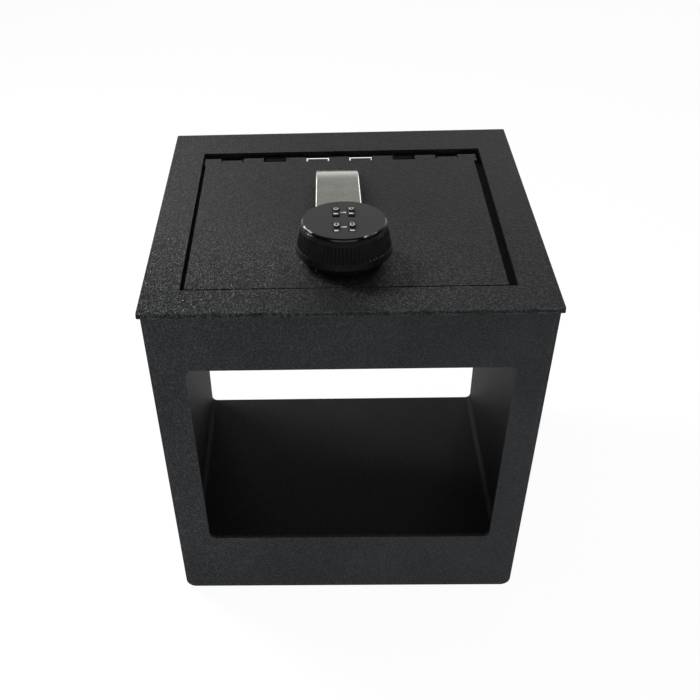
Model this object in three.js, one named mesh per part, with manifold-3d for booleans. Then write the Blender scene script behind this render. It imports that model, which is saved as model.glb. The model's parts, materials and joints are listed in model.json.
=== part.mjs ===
// A console safe: a welded steel box that is open at the back and has a window in its front, a hinged
// lid set in its top flange, and a rotary lock with four number wheels and a pull strap on the lid.
// The front panel and the side walls lean inwards towards the floor, as the console bin does.
// Lengths are in millimetres. X runs to the right as seen from the window, Y runs from the window to
// the hinge, and Z runs up. The origin is under the middle of the safe, on the surface it stands on.

import * as THREE from "three";
import * as BufferGeometryUtils from "three/addons/utils/BufferGeometryUtils.js";
import Module from "manifold-3d";

// Driving dimensions

// Steel sheet
const body_sheet = 2.7;
const top_plate = 3.2;
// Pieces that are welded, pressed or stacked together are drawn this far apart.
const fit_gap = 0.3;

// Box
const flange_width = 254;
const flange_depth = 270;
const safe_height = 255;
const side_overhang = 1.7;
const front_overhang = 2.9;
const rear_overhang = 3.2;
// How far the front panel and each side wall have come in at the underside, against the flange's top.
const front_draw_in = 32;
const side_draw_in = 8.1;
const body_bend_radius = 7;
const flange_corner_radius = 1.2;

// Window in the front panel, measured from the edges of the flange and from the underside. Its sides
// lean with the walls, and its side margins are those at the height of the flange.
const window_left_margin = 23.6;
const window_right_margin = 22.1;
const window_top_strip = 46.8;
const window_sill = 52.7;
const window_corner_radius = 4.5;

// Opening in the top flange
const opening_side_margin = 23.7;
const opening_front_margin = 27.8;
const opening_rear_margin = 36;
const opening_corner_radius = 1.2;

// Rear rail, measured down from the top of the flange
const rail_depth = 19;
const haunch_depth = 45;
const haunch_spacing = 56;

// Ledges under the lid
const ledge_width = 21;
const ledge_thickness = 3;
const side_ledge_reach = 9;
const front_ledge_reach = 6;

// Lid and its gaps in the opening
const lid_gap_left = 2.7;
const lid_gap_right = 5.7;
const lid_gap_front = 1.2;
const hinge_strip_gap_left = 1.6;
const hinge_strip_gap_right = 3.6;
const hinge_strip_length = 10;
const lid_corner_radius = 1.2;

// Hinge
const pin_diameter = 4;
const pin_clearance = 0.25;
const pin_setback = 11.6;
const roll_sweep = THREE.MathUtils.degToRad(270);
const notch_count = 6;
const notch_pitch = 31.9;
const notch_width = 16.8;
const notch_reach = 5.8;
const finger_gap = 0.9;
const finger_setback = 1.9;
const ear_side_clearance = 1.4;
const ear_wall = 2.15;

// Lock on the lid
const lock_setback = 38;
const barrel_diameter = 18;
const barrel_hole_clearance = 0.3;
const barrel_below_lid = 9.8;
const base_diameter = 51;
const base_height = 3.7;
const lock_washer_diameter = 30;
const lock_washer_thickness = 1.5;
const lock_nut_across_flats = 27;
const lock_nut_height = 6;

// Knob, measured up from the lid
const knob_height = 27.25;
const knob_foot_diameter = 53;
const knob_rim_diameter = 61.2;
const knob_rim_height = 7;
const rib_zone_bottom = 11;
const rib_zone_bottom_diameter = 59.6;
const rib_zone_top = 22;
const rib_zone_top_diameter = 55.2;
const knob_shoulder_diameter = 54;
const knob_face_diameter = 51.6;
const knob_face_bevel = 0.8;
const knob_floor = 5.8;
const knob_wall = 3.8;
const rib_count = 72;
const groove_width = 1.15;
const groove_depth = 0.8;

// Number wheels
const wheel_diameter = 16;
const wheel_width = 3.8;
const wheel_spacing = 9.7;
const wheel_row_pitch = 20;
const wheel_proud = 2.6;
const wheel_clearance = 0.4;
const digits_per_wheel = 10;
const digit_notch_depth = 0.5;
const axle_diameter = 3;
const axle_clearance = 0.2;
const face_thickness = 1.8;
const reset_hole_diameter = 1.2;
const reset_hole_offset_x = -4.1;
const reset_hole_offset_y = 22;
const detent_plate_thickness = 0.6;
const detent_bump_radius = 0.8;
const detent_slot_width = 1.2;

// Spindle and latch
const spindle_diameter = 9;
const spindle_clearance = 0.3;
const spindle_flange_across_flats = 16;
const spindle_flange_thickness = 1.7;
const spindle_square = 6.4;
const cam_length = 46;
const cam_width = 16;
const cam_thickness = 3;
const cam_tail = 11;
const cam_joggle_start = 19;
const cam_bend_radius = 3;
const cam_striker_clearance = 0.6;
const cam_washer_diameter = 12;
const cam_washer_thickness = 1;
const cam_screw_diameter = 4;
const cam_screw_length = 10;
const cam_screw_across_flats = 7;
const cam_screw_head_height = 2.8;

// Pull strap
const strap_width = 32.2;
const strap_end_width = 30.8;
const strap_thickness = 1.6;
const strap_height = 10;
const strap_root_front = 18;
const strap_rise_start = 33;
const strap_rise_angle = THREE.MathUtils.degToRad(45);
const strap_bend_radius = 4;
const strap_flat_end = 97.7;
const strap_end_bend_radius = 64;
const strap_end_angle = THREE.MathUtils.degToRad(27);
// The middle line of the strap lies this far to the right of the lock's axis.
const strap_offset = -2.3;

// Facets on round pieces
const fine_steps = 48;
const medium_steps = 32;
const small_steps = 24;
const corner_steps = 4;

// Places worked out from the sizes

const flange_left = -flange_width / 2;
const flange_right = flange_width / 2;
const flange_front = -flange_depth / 2;
const flange_rear = flange_depth / 2;
const flange_underside = safe_height - top_plate;
const under_flange = flange_underside - fit_gap;

const side_lean = Math.atan(side_draw_in / safe_height);
const front_lean = Math.atan(front_draw_in / safe_height);
const floor_half_width = flange_width / 2 - side_overhang - side_draw_in;
const body_front = flange_front + front_overhang;
const body_rear = flange_rear - rear_overhang;
const bend_centre = floor_half_width
  - (body_bend_radius * (1 - Math.sin(side_lean))) / Math.cos(side_lean);

const opening_left = flange_left + opening_side_margin;
const opening_right = flange_right - opening_side_margin;
const opening_front = flange_front + opening_front_margin;
const opening_rear = flange_rear - opening_rear_margin;

const pin_radius = pin_diameter / 2;
const roll_inner_radius = pin_radius + pin_clearance;
const roll_radius = roll_inner_radius + top_plate;
const pin_y = opening_rear - pin_setback;
const pin_z = safe_height - roll_radius;

const lid_left = opening_left + lid_gap_left;
const lid_right = opening_right - lid_gap_right;
const lid_centre = (lid_left + lid_right) / 2;
const lid_half_width = (lid_right - lid_left) / 2;
const lid_length = pin_y - (opening_front + lid_gap_front);
const lock_ahead_of_pin = pin_y - (opening_front + lock_setback);

const front_ledge_rear = opening_front + front_ledge_reach;
const striker_underside = under_flange - ledge_thickness;

// Solids: making, joining and cutting them

const wasm = await Module();
wasm.setup();

// A closed geometry as a solid that can be joined and cut.
function solid(geometry) {
  const bare = geometry.clone();
  bare.deleteAttribute("normal");
  bare.deleteAttribute("uv");
  const welded = BufferGeometryUtils.mergeVertices(bare);
  const mesh = new wasm.Mesh({
    numProp: 3,
    vertProperties: Float32Array.from(welded.attributes.position.array),
    triVerts: Uint32Array.from(welded.index.array),
  });
  return new wasm.Manifold(mesh);
}

// A solid as a geometry again, with one normal to each facet.
function geometry_of(shape) {
  const mesh = shape.getMesh();
  const indexed = new THREE.BufferGeometry();
  indexed.setAttribute("position", new THREE.BufferAttribute(Float32Array.from(mesh.vertProperties), 3));
  indexed.setIndex(new THREE.BufferAttribute(Uint32Array.from(mesh.triVerts), 1));
  const faceted = indexed.toNonIndexed();
  faceted.computeVertexNormals();
  return faceted;
}

// An outline drawn in X and Y, carried up from z = low to z = high.
function carried_up(outline, low, high, steps = corner_steps) {
  const options = { depth: high - low, bevelEnabled: false, curveSegments: steps };
  return new THREE.ExtrudeGeometry(outline, options).translate(0, 0, low);
}

// An outline drawn in X and Z, carried back from y = front to y = rear.
function carried_back(outline, front, rear, steps = corner_steps) {
  return carried_up(outline, -rear, -front, steps).rotateX(Math.PI / 2);
}

// An outline drawn in Y and Z, carried sideways from x = left to x = right.
function carried_sideways(outline, left, right, steps = corner_steps) {
  return carried_up(outline, left, right, steps).rotateX(Math.PI / 2).rotateZ(Math.PI / 2);
}

// A rectangular block between two corners.
function block(left, right, front, rear, low, high) {
  const box = new THREE.BoxGeometry(right - left, rear - front, high - low);
  return box.translate((left + right) / 2, (front + rear) / 2, (low + high) / 2);
}

// A shape turned about the Z axis from a profile of [radius, height] points that closes on itself or
// starts and ends on the axis.
function turned(profile, steps) {
  const points = profile.map(([radius, height]) => new THREE.Vector2(radius, height));
  return new THREE.LatheGeometry(points, steps).rotateX(Math.PI / 2);
}

// A round bar standing on Z from z = low to z = high.
function upright_bar(radius, low, high, steps) {
  return turned([[0, low], [radius, low], [radius, high], [0, high]], steps);
}

// A washer standing on Z: a ring between two radii and two heights.
function ring(inner, outer, low, high, steps) {
  return turned([[inner, low], [outer, low], [outer, high], [inner, high], [inner, low]], steps);
}

// A hexagonal bar standing on Z with one pair of flats facing along Y.
function hexagon_bar(across_flats, low, high) {
  const corner_radius = across_flats / 2 / Math.cos(Math.PI / 6);
  return upright_bar(corner_radius, low, high, 6).rotateZ(Math.PI / 6);
}

// A round bar lying along X, centred on the YZ origin.
function lying_bar(radius, left, right, steps) {
  return upright_bar(radius, left, right, steps).rotateY(Math.PI / 2);
}

// A rectangle with rounded corners, drawn on a Shape or on the Path of a hole.
function rounded_rectangle(path, left, right, bottom, top, radius) {
  path.moveTo(left + radius, bottom);
  path.lineTo(right - radius, bottom);
  path.absarc(right - radius, bottom + radius, radius, -Math.PI / 2, 0, false);
  path.lineTo(right, top - radius);
  path.absarc(right - radius, top - radius, radius, 0, Math.PI / 2, false);
  path.lineTo(left + radius, top);
  path.absarc(left + radius, top - radius, radius, Math.PI / 2, Math.PI, false);
  path.lineTo(left, bottom + radius);
  path.absarc(left + radius, bottom + radius, radius, Math.PI, 1.5 * Math.PI, false);
  return path;
}

// An outline through corners that run anticlockwise, each rounded to the same radius.
function rounded_outline(corners, radius) {
  const outline = new THREE.Shape();
  for (const [index, corner] of corners.entries()) {
    const before = corners[(index + corners.length - 1) % corners.length];
    const after = corners[(index + 1) % corners.length];
    const to_before = before.clone().sub(corner).normalize();
    const to_after = after.clone().sub(corner).normalize();
    const half_angle = Math.acos(to_before.dot(to_after)) / 2;
    const inwards = to_before.clone().add(to_after).normalize();
    const centre = corner.clone().addScaledVector(inwards, radius / Math.sin(half_angle));
    const reach = radius / Math.tan(half_angle);
    const start = corner.clone().addScaledVector(to_before, reach).sub(centre).angle();
    const end = corner.clone().addScaledVector(to_after, reach).sub(centre).angle();
    outline.absarc(centre.x, centre.y, radius, start, end, false);
  }
  return outline;
}

// The edge view of a bent strip. Its middle line starts at (start_u, start_v) heading along +u, and
// each run is a straight of a given length or a bend of a given angle and radius, positive upwards.
function bent_strip(start_u, start_v, runs, thickness) {
  const bend_steps = 8;
  const middle = [{ u: start_u, v: start_v, heading: 0 }];
  for (const run of runs) {
    const last = middle[middle.length - 1];
    if (run.straight !== undefined) {
      const u = last.u + run.straight * Math.cos(last.heading);
      const v = last.v + run.straight * Math.sin(last.heading);
      middle.push({ u, v, heading: last.heading });
      continue;
    }
    const side = Math.sign(run.bend);
    const centre_u = last.u - side * run.radius * Math.sin(last.heading);
    const centre_v = last.v + side * run.radius * Math.cos(last.heading);
    for (let step = 1; step <= bend_steps; step += 1) {
      const heading = last.heading + (run.bend * step) / bend_steps;
      const u = centre_u + side * run.radius * Math.sin(heading);
      const v = centre_v - side * run.radius * Math.cos(heading);
      middle.push({ u, v, heading });
    }
  }
  const offset = (point, distance) => new THREE.Vector2(
    point.u - distance * Math.sin(point.heading),
    point.v + distance * Math.cos(point.heading),
  );
  const lower = middle.map((point) => offset(point, -thickness / 2));
  const upper = middle.map((point) => offset(point, thickness / 2)).reverse();
  return new THREE.Shape([...lower, ...upper]);
}

// Finishes

const finishes = {
  textured_black: { color: 0x35373a, roughness: 0.62, metalness: 0.25 },
  black_steel: { color: 0x1b1c1d, roughness: 0.55, metalness: 0.6 },
  bright_steel: { color: 0xb9bcc0, roughness: 0.3, metalness: 1.0 },
  chrome: { color: 0xd4d6d8, roughness: 0.12, metalness: 1.0 },
  gloss_black_plastic: { color: 0x141517, roughness: 0.25, metalness: 0.0 },
  gloss_grey_plastic: { color: 0x3a3b3d, roughness: 0.15, metalness: 0.0 },
  matte_black_plastic: { color: 0x0c0c0d, roughness: 0.6, metalness: 0.0 },
};

// One named piece in its own finish.
function piece(name, geometry, finish) {
  const mesh = new THREE.Mesh(geometry, new THREE.MeshStandardMaterial(finishes[finish]));
  mesh.name = name;
  return mesh;
}

// Box

// Half the width of the box at a height, so deep under the outer skin of its walls.
function wall_x(height, depth) {
  return floor_half_width + height * Math.tan(side_lean) - depth / Math.cos(side_lean);
}

// Y of the front panel at a height, so deep under its outer skin.
function front_y(height, depth) {
  return body_front + (safe_height - height) * Math.tan(front_lean) + depth / Math.cos(front_lean);
}

// The line of left wall, floor and right wall seen from the front, so deep under their outer skin.
function trough_line(depth) {
  const bend_steps = 8;
  const radius = body_bend_radius - depth;
  const bend_start_x = bend_centre + radius * Math.cos(side_lean);
  const bend_start_z = body_bend_radius - radius * Math.sin(side_lean);
  const line = new THREE.Path();
  line.moveTo(-wall_x(under_flange, depth), under_flange);
  line.lineTo(-bend_start_x, bend_start_z);
  line.absarc(-bend_centre, body_bend_radius, radius, Math.PI + side_lean, 1.5 * Math.PI, false);
  line.absarc(bend_centre, body_bend_radius, radius, -Math.PI / 2, -side_lean, false);
  line.lineTo(wall_x(under_flange, depth), under_flange);
  return line.getPoints(bend_steps);
}

// Everything between two depths under the skin of the leaning front panel.
function front_slab(depth, far_depth) {
  const above = safe_height + 1;
  const below = -1;
  const side_view = new THREE.Shape([
    new THREE.Vector2(front_y(above, depth), above),
    new THREE.Vector2(front_y(below, depth), below),
    new THREE.Vector2(front_y(below, far_depth), below),
    new THREE.Vector2(front_y(above, far_depth), above),
  ]);
  return solid(carried_sideways(side_view, flange_left, flange_right));
}

// Left wall, floor and right wall, bent from one sheet and open at the front and the back.
function body_wrap() {
  const outline = new THREE.Shape([...trough_line(0), ...trough_line(body_sheet).reverse()]);
  const long_trough = solid(carried_back(outline, body_front, body_rear));
  return geometry_of(long_trough.intersect(front_slab(0, 2 * flange_depth)));
}

// Leaning front panel set between the walls, flush with their edges, with the window cut in it.
function front_panel() {
  const outline = new THREE.Shape(trough_line(body_sheet + fit_gap));
  const window_x = (side, margin, height) => side
    * (flange_width / 2 - margin - side_draw_in * (1 - height / safe_height));
  const window_top = safe_height - window_top_strip;
  const window_hole = rounded_outline([
    new THREE.Vector2(window_x(-1, window_left_margin, window_sill), window_sill),
    new THREE.Vector2(window_x(1, window_right_margin, window_sill), window_sill),
    new THREE.Vector2(window_x(1, window_right_margin, window_top), window_top),
    new THREE.Vector2(window_x(-1, window_left_margin, window_top), window_top),
  ], window_corner_radius);
  const window_block = solid(carried_back(window_hole, body_front, body_rear, 6));
  const blank = solid(carried_back(outline, body_front, body_rear));
  return geometry_of(blank.intersect(front_slab(0, body_sheet)).subtract(window_block));
}

// Top flange: a plate that overhangs the box on all sides, with the opening for the lid.
function top_frame() {
  const outline = rounded_rectangle(
    new THREE.Shape(), flange_left, flange_right, flange_front, flange_rear, flange_corner_radius,
  );
  const opening = rounded_rectangle(
    new THREE.Path(), opening_left, opening_right, opening_front, opening_rear, opening_corner_radius,
  );
  outline.holes.push(opening);
  return carried_up(outline, flange_underside, safe_height);
}

// Rail across the back, under the flange, with deeper haunches at both walls.
function rear_rail() {
  const rail_bottom = safe_height - rail_depth;
  const haunch_bottom = safe_height - haunch_depth;
  const haunch_top_x = haunch_spacing / 2;
  const haunch_bottom_x = haunch_top_x + (haunch_depth - rail_depth);
  const outline = new THREE.Shape();
  const edge_depth = body_sheet + fit_gap;
  outline.moveTo(-wall_x(under_flange, edge_depth), under_flange);
  outline.lineTo(-wall_x(haunch_bottom, edge_depth), haunch_bottom);
  outline.lineTo(-haunch_bottom_x, haunch_bottom);
  outline.lineTo(-haunch_top_x, rail_bottom);
  outline.lineTo(haunch_top_x, rail_bottom);
  outline.lineTo(haunch_bottom_x, haunch_bottom);
  outline.lineTo(wall_x(haunch_bottom, edge_depth), haunch_bottom);
  outline.lineTo(wall_x(under_flange, edge_depth), under_flange);
  return carried_back(outline, body_rear - body_sheet, body_rear);
}

// Flat bar under one side of the opening, which the lid rests on. side is -1 for left, 1 for right.
function side_ledge(side) {
  const edge = side < 0 ? opening_left : opening_right;
  const inner = edge - side * side_ledge_reach;
  const outer = inner + side * ledge_width;
  const rear = pin_y - roll_radius - ledge_thickness;
  const front = front_ledge_rear + fit_gap;
  const low = striker_underside;
  return block(Math.min(inner, outer), Math.max(inner, outer), front, rear, low, under_flange);
}

// Flat bar under the front of the opening. The lid rests on it and the latch cam hooks under it.
function front_ledge() {
  const left = opening_left + side_ledge_reach - ledge_width;
  const right = opening_right - side_ledge_reach + ledge_width;
  const front = front_ledge_rear - ledge_width;
  return block(left, right, front, front_ledge_rear, striker_underside, under_flange);
}

// Arm from the rear rail that carries the hinge pin in its eye, drawn about the pin's axis.
function hinge_ear() {
  const eye_radius = pin_radius + pin_clearance + ear_wall;
  const arm_top = under_flange - pin_z;
  const arm_rear = body_rear - body_sheet - fit_gap - pin_y;
  const meeting_angle = Math.asin(arm_top / eye_radius);
  const outline = new THREE.Shape();
  outline.moveTo(arm_rear, arm_top);
  outline.lineTo(arm_rear, -eye_radius);
  outline.lineTo(0, -eye_radius);
  outline.absarc(0, 0, eye_radius, 1.5 * Math.PI, meeting_angle, true);
  const eye = new THREE.Path();
  eye.absarc(0, 0, pin_radius + pin_clearance, 0, 2 * Math.PI, false);
  outline.holes.push(eye);
  const half_width = notch_width / 2 - ear_side_clearance;
  return carried_sideways(outline, -half_width, half_width, small_steps);
}

// Lid, drawn about the middle of the hinge pin

// X of each notch in the hinge edge, from left to right.
const notch_places = Array.from(
  { length: notch_count },
  (unused, index) => (index - (notch_count - 1) / 2) * notch_pitch,
);
// The ears of the box come up in the second notch from each end. The others hold a finger of the lid.
const ear_notches = [1, notch_count - 2];

// One sheet: flat, then rolled round the pin at the rear, with notches that leave seven knuckles.
function lid_plate() {
  const edge_view = new THREE.Shape();
  edge_view.moveTo(-lid_length, roll_radius);
  edge_view.lineTo(0, roll_radius);
  edge_view.absarc(0, 0, roll_radius, Math.PI / 2, Math.PI / 2 - roll_sweep, true);
  const roll_end = Math.PI / 2 - roll_sweep;
  edge_view.lineTo(roll_inner_radius * Math.cos(roll_end), roll_inner_radius * Math.sin(roll_end));
  edge_view.absarc(0, 0, roll_inner_radius, roll_end, Math.PI / 2, false);
  edge_view.lineTo(-lid_length, roll_inner_radius);

  const strip_left = opening_left + hinge_strip_gap_left - lid_centre;
  const strip_right = opening_right - hinge_strip_gap_right - lid_centre;
  const sheet = solid(carried_sideways(edge_view, strip_left, strip_right, 18));

  // Seen from above: rounded front corners, and steps in both sides where the hinge strip is wider.
  const plan = new THREE.Shape();
  plan.moveTo(strip_left, 2 * roll_radius);
  plan.lineTo(strip_left, -hinge_strip_length);
  plan.lineTo(-lid_half_width, -hinge_strip_length);
  plan.lineTo(-lid_half_width, -lid_length + lid_corner_radius);
  plan.absarc(
    -lid_half_width + lid_corner_radius, -lid_length + lid_corner_radius,
    lid_corner_radius, Math.PI, 1.5 * Math.PI, false,
  );
  plan.lineTo(lid_half_width - lid_corner_radius, -lid_length);
  plan.absarc(
    lid_half_width - lid_corner_radius, -lid_length + lid_corner_radius,
    lid_corner_radius, -Math.PI / 2, 0, false,
  );
  plan.lineTo(lid_half_width, -hinge_strip_length);
  plan.lineTo(strip_right, -hinge_strip_length);
  plan.lineTo(strip_right, 2 * roll_radius);
  let lid = sheet.intersect(solid(carried_up(plan, -2 * roll_radius, 2 * roll_radius)));

  const past_roll = roll_radius + 1;
  for (const [index, x] of notch_places.entries()) {
    const left = x - notch_width / 2;
    const right = x + notch_width / 2;
    let notch = solid(block(left, right, -notch_reach, past_roll, -past_roll, past_roll));
    const below_plate = roll_inner_radius - fit_gap;
    notch = notch.add(solid(block(left, right, -past_roll, past_roll, -past_roll, below_plate)));
    if (!ear_notches.includes(index)) {
      const finger_left = left + finger_gap;
      const finger_right = right - finger_gap;
      const finger = block(
        finger_left, finger_right, -past_roll, -finger_setback, below_plate, 2 * past_roll,
      );
      notch = notch.subtract(solid(finger));
    }
    lid = lid.subtract(notch);
  }

  const hole_radius = barrel_diameter / 2 + barrel_hole_clearance;
  const lock_hole = upright_bar(hole_radius, 0, 2 * roll_radius, medium_steps);
  return geometry_of(lid.subtract(solid(lock_hole.translate(0, -lock_ahead_of_pin, 0))));
}

// Lock pieces fixed to the lid, drawn about the lock's axis with z = 0 on top of the lid

const barrel_radius = barrel_diameter / 2;
const barrel_bottom = -top_plate - barrel_below_lid;
const base_top = fit_gap + base_height;
const spindle_bore_radius = spindle_diameter / 2 + spindle_clearance;

// Round base with the barrel that goes down through the lid. The strap's root lies in a channel under it.
function lock_housing() {
  const housing = solid(turned([
    [spindle_bore_radius, barrel_bottom],
    [barrel_radius, barrel_bottom],
    [barrel_radius, fit_gap],
    [base_diameter / 2, fit_gap],
    [base_diameter / 2, base_top],
    [spindle_bore_radius, base_top],
    [spindle_bore_radius, barrel_bottom],
  ], fine_steps));
  const channel_half_width = strap_width / 2 + fit_gap;
  const channel_left = strap_offset - channel_half_width;
  const channel_right = strap_offset + channel_half_width;
  const channel_front = -strap_root_front - fit_gap;
  const channel_top = fit_gap + strap_thickness + fit_gap;
  const channel = solid(block(
    channel_left, channel_right, channel_front, base_diameter, 0, channel_top,
  ));
  const kept_barrel = solid(upright_bar(barrel_radius, -fit_gap, channel_top, fine_steps));
  return geometry_of(housing.subtract(channel.subtract(kept_barrel)));
}

// Strap: its root is held round the barrel, and behind the knob it rises, runs flat and curves down.
function pull_strap() {
  const root_middle = fit_gap + strap_thickness / 2;
  const top_middle = strap_height - strap_thickness / 2;
  const rise_in_bends = 2 * strap_bend_radius * (1 - Math.cos(strap_rise_angle));
  const slope_length = (top_middle - root_middle - rise_in_bends) / Math.sin(strap_rise_angle);
  const rise_run = 2 * strap_bend_radius * Math.sin(strap_rise_angle)
    + slope_length * Math.cos(strap_rise_angle);
  const flat_length = strap_flat_end - strap_rise_start - rise_run;
  const edge_view = bent_strip(-strap_root_front, root_middle, [
    { straight: strap_root_front + strap_rise_start },
    { bend: strap_rise_angle, radius: strap_bend_radius },
    { straight: slope_length },
    { bend: -strap_rise_angle, radius: strap_bend_radius },
    { straight: flat_length },
    { bend: -strap_end_angle, radius: strap_end_bend_radius },
  ], strap_thickness);
  const strip = carried_sideways(edge_view, -strap_width / 2, strap_width / 2);

  // The strap narrows a little from the knob to its far end.
  const place = strip.attributes.position;
  const narrowing = 1 - strap_end_width / strap_width;
  const taper_length = strap_flat_end - strap_rise_start;
  for (let index = 0; index < place.count; index += 1) {
    const along = THREE.MathUtils.clamp((place.getY(index) - strap_rise_start) / taper_length, 0, 1);
    place.setX(index, strap_offset + place.getX(index) * (1 - narrowing * along));
  }

  const hole_radius = barrel_radius + barrel_hole_clearance;
  const hole = upright_bar(hole_radius, -strap_height, strap_height, medium_steps);
  return geometry_of(solid(strip).subtract(solid(hole)));
}

const lock_washer_top = -top_plate - fit_gap;
const lock_nut_top = lock_washer_top - lock_washer_thickness - fit_gap;

function lock_washer() {
  const hole_radius = barrel_radius + barrel_hole_clearance;
  const bottom = lock_washer_top - lock_washer_thickness;
  return ring(hole_radius, lock_washer_diameter / 2, bottom, lock_washer_top, medium_steps);
}

function lock_nut() {
  const bottom = lock_nut_top - lock_nut_height;
  const blank = solid(hexagon_bar(lock_nut_across_flats, bottom, lock_nut_top));
  const hole_radius = barrel_radius + barrel_hole_clearance;
  return geometry_of(blank.subtract(solid(upright_bar(hole_radius, 2 * bottom, 0, medium_steps))));
}

// Knob pieces, drawn about the lock's axis with z = 0 on top of the lid

const knob_foot = base_top + fit_gap;
const shell_top = knob_height - face_thickness - fit_gap;
const cavity_floor = knob_foot + knob_floor;
const cavity_radius = knob_shoulder_diameter / 2 - knob_wall;
const spindle_flange_top = cavity_floor + fit_gap + spindle_flange_thickness;
const detent_plate_bottom = spindle_flange_top + fit_gap;
const carrier_bottom = detent_plate_bottom + detent_plate_thickness + fit_gap;
const carrier_radius = cavity_radius - fit_gap;
const wheel_radius = wheel_diameter / 2;
const wheel_axis_height = knob_height + wheel_proud - wheel_radius;
const wheel_columns = [-wheel_spacing / 2, wheel_spacing / 2];
const wheel_rows = [-wheel_row_pitch / 2, wheel_row_pitch / 2];
const slot_half_width = wheel_width / 2 + wheel_clearance;

// Knob body: a cup with a grooved, tapered side, a plain band at its foot and one at its shoulder.
function knob_shell() {
  const rim_radius = knob_rim_diameter / 2;
  const zone_bottom_radius = rib_zone_bottom_diameter / 2;
  const zone_top_radius = rib_zone_top_diameter / 2;
  const bore_radius = spindle_bore_radius;
  const cup = solid(turned([
    [bore_radius, knob_foot],
    [knob_foot_diameter / 2, knob_foot],
    [rim_radius, knob_rim_height],
    [zone_bottom_radius, rib_zone_bottom],
    [zone_top_radius, rib_zone_top],
    [knob_shoulder_diameter / 2, shell_top],
    [cavity_radius, shell_top],
    [cavity_radius, cavity_floor],
    [bore_radius, cavity_floor],
    [bore_radius, knob_foot],
  ], rib_count));

  // Each groove is cut in the middle of a facet.
  const zone_height = rib_zone_top - rib_zone_bottom;
  const slant = Math.atan2(zone_bottom_radius - zone_top_radius, zone_height);
  const facet_shortfall = Math.cos(Math.PI / rib_count);
  const groove_length = zone_height / Math.cos(slant);
  const middle_radius = ((zone_bottom_radius + zone_top_radius) / 2) * facet_shortfall;
  const middle_height = (rib_zone_top + rib_zone_bottom) / 2;
  const grooves = [];
  for (let rib = 0; rib < rib_count; rib += 1) {
    const cutter = new THREE.BoxGeometry(groove_width, 2 * groove_depth, groove_length);
    cutter.rotateX(-slant);
    cutter.translate(0, -middle_radius, middle_height);
    cutter.rotateZ((rib + 0.5) * ((2 * Math.PI) / rib_count));
    grooves.push(cutter);
  }
  const grooved = cup.subtract(solid(BufferGeometryUtils.mergeGeometries(grooves)));
  const drive = hexagon_bar(
    spindle_flange_across_flats + 2 * fit_gap,
    cavity_floor - spindle_flange_thickness,
    cavity_floor + fit_gap,
  );
  return geometry_of(grooved.subtract(solid(drive)));
}

// Glossy face on top of the knob with a window over each number wheel and a small reset hole.
function knob_face() {
  const face_radius = knob_face_diameter / 2;
  const underside = knob_height - face_thickness;
  const disc = solid(turned([
    [0, underside],
    [face_radius + knob_face_bevel, underside],
    [face_radius + knob_face_bevel, knob_height - knob_face_bevel],
    [face_radius, knob_height],
    [0, knob_height],
  ], rib_count));
  const reset_hole = upright_bar(reset_hole_diameter / 2, underside - 1, knob_height + 1, 12);
  reset_hole.translate(reset_hole_offset_x, reset_hole_offset_y, 0);
  let face = disc.subtract(solid(reset_hole));
  for (const x of wheel_columns) {
    for (const y of wheel_rows) {
      // The ends of each window follow the wheel that turns in it.
      const sweep = lying_bar(
        wheel_radius + wheel_clearance, -slot_half_width, slot_half_width, fine_steps,
      );
      face = face.subtract(solid(sweep.translate(x, y, wheel_axis_height)));
    }
  }
  return geometry_of(face);
}

// Block inside the knob with a slot for each pair of wheels and a bore for each axle.
function dial_carrier() {
  const top = shell_top;
  let carrier = solid(upright_bar(carrier_radius, carrier_bottom, top, fine_steps));
  const slot_end = wheel_row_pitch / 2 + wheel_radius + wheel_clearance;
  for (const x of wheel_columns) {
    const slot = block(
      x - slot_half_width, x + slot_half_width, -slot_end, slot_end, carrier_bottom - 1, top + 1,
    );
    carrier = carrier.subtract(solid(slot));
  }
  const bore_radius = axle_diameter / 2 + axle_clearance;
  for (const y of wheel_rows) {
    const bore = lying_bar(bore_radius, -knob_rim_diameter, knob_rim_diameter, small_steps);
    carrier = carrier.subtract(solid(bore.translate(0, y, wheel_axis_height)));
  }
  return geometry_of(carrier);
}

// Axle of one row of wheels. Its ends stay inside the round outline of the carrier.
function dial_axle() {
  const outer_side = wheel_row_pitch / 2 + axle_diameter / 2;
  const half_length = Math.sqrt(carrier_radius ** 2 - outer_side ** 2);
  return lying_bar(axle_diameter / 2, -half_length, half_length, small_steps);
}

// Number wheel with a shallow notch between one figure and the next. A figure is uppermost at rest.
function dial_wheel() {
  const outline = new THREE.Shape();
  const rim_points = 4;
  const step = (2 * Math.PI) / digits_per_wheel;
  const notch_half_angle = digit_notch_depth / wheel_radius;
  for (let digit = 0; digit < digits_per_wheel; digit += 1) {
    const notch = digit * step;
    const notch_radius = wheel_radius - digit_notch_depth;
    const place = [notch_radius * Math.cos(notch), notch_radius * Math.sin(notch)];
    if (digit === 0) {
      outline.moveTo(...place);
    } else {
      outline.lineTo(...place);
    }
    for (let point = 0; point <= rim_points; point += 1) {
      const angle = notch + notch_half_angle + ((step - 2 * notch_half_angle) * point) / rim_points;
      outline.lineTo(wheel_radius * Math.cos(angle), wheel_radius * Math.sin(angle));
    }
  }
  const bore = new THREE.Path();
  bore.absarc(0, 0, axle_diameter / 2 + axle_clearance, 0, 2 * Math.PI, false);
  outline.holes.push(bore);
  return carried_sideways(outline, -wheel_width / 2, wheel_width / 2, small_steps / 2);
}

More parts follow.
